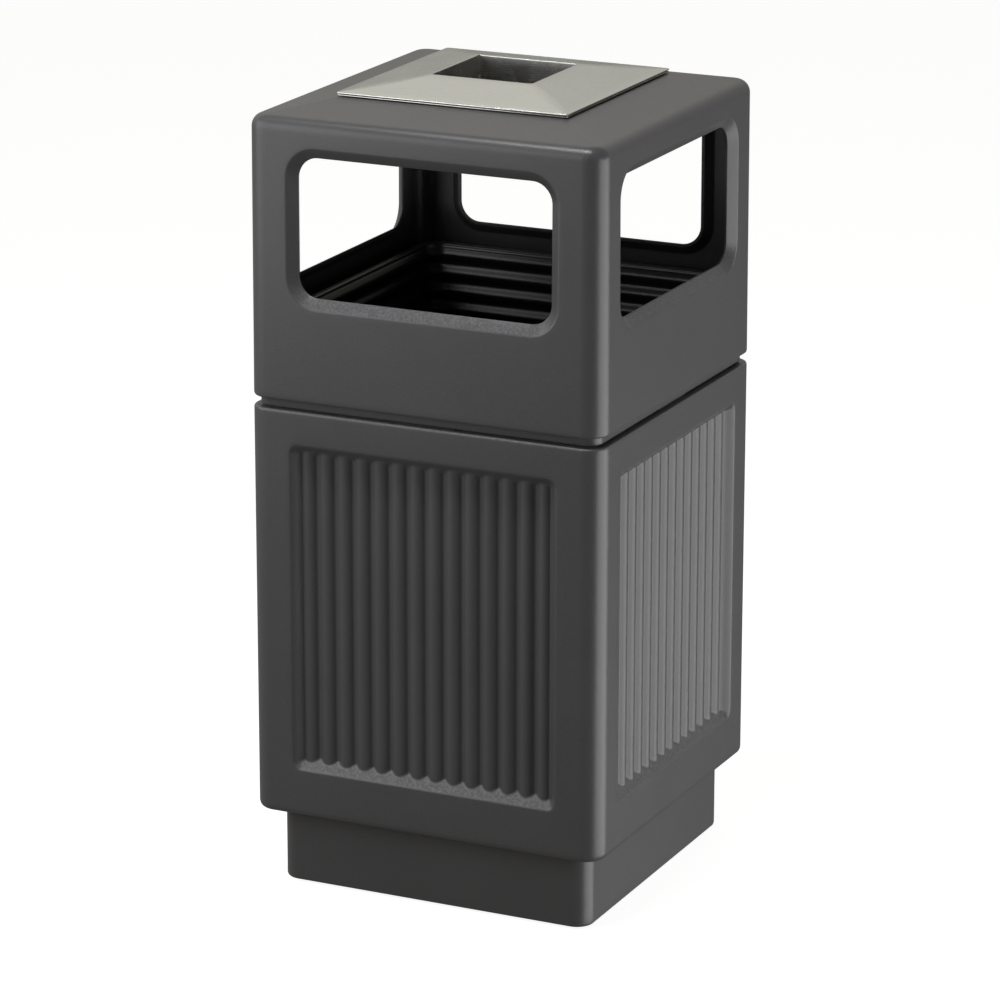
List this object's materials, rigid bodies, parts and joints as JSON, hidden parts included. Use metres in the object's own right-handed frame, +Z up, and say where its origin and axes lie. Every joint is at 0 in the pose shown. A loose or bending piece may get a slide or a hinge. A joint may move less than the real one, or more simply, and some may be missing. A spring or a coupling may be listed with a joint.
{
  "type": "litter receptacle with ash urn",
  "caption": "Square outdoor litter bin in dark moulded plastic with side openings in its hood, fluted base panels, an inner liner and a steel ash urn on top.",
  "frame": {"origin": "on the floor under the middle of the receptacle", "axes": "+Z up, -Y out of the front face, +X to the right of someone facing the front"},
  "size_m": [0.4636, 0.4636, 0.9969],
  "materials": {
    "body_plastic": "fine moulded grain, charcoal",
    "hood_plastic": "fine moulded grain, charcoal",
    "liner_plastic": "smooth, black",
    "brushed_steel": "brushed",
    "pan_steel": "drawn, semi-bright",
    "screw_steel": "plain stainless",
    "black_rubber": "matte",
    "plug_plastic": "smooth"
  },
  "bodies": {
    "base": {"base_shell": "body_plastic", "foot_front_left": "black_rubber", "foot_front_right": "black_rubber", "foot_back_right": "black_rubber", "foot_back_left": "black_rubber", "foot_screw_front_left": "screw_steel", "foot_screw_front_right": "screw_steel", "foot_screw_back_right": "screw_steel", "foot_screw_back_left": "screw_steel", "anchor_plug_front_left": "plug_plastic", "anchor_plug_front_right": "plug_plastic", "anchor_plug_back_right": "plug_plastic", "anchor_plug_back_left": "plug_plastic", "hood_pad_front": "black_rubber", "hood_pad_right": "black_rubber", "hood_pad_back": "black_rubber", "hood_pad_left": "black_rubber"},
    "liner": {"rigid_liner": "liner_plastic"},
    "hood": {"hood_shell": "hood_plastic", "pan_gasket": "black_rubber"},
    "pan": {"ash_pan": "pan_steel"},
    "cover": {"ash_cover": "brushed_steel"}
  },
  "joints": [
    {"name": "hood_lift", "type": "slide", "parent": "base", "child": "hood", "axis": [0, 0, 1], "range_m": [0, 0.35]},
    {"name": "liner_lift", "type": "slide", "parent": "base", "child": "liner", "axis": [0, 0, 1], "range_m": [0, 0.24]},
    {"name": "pan_lift", "type": "slide", "parent": "hood", "child": "pan", "axis": [0, 0, 1], "range_m": [0, 0.15]},
    {"name": "cover_lift", "type": "slide", "parent": "pan", "child": "cover", "axis": [0, 0, 1], "range_m": [0, 0.1]}
  ]
}
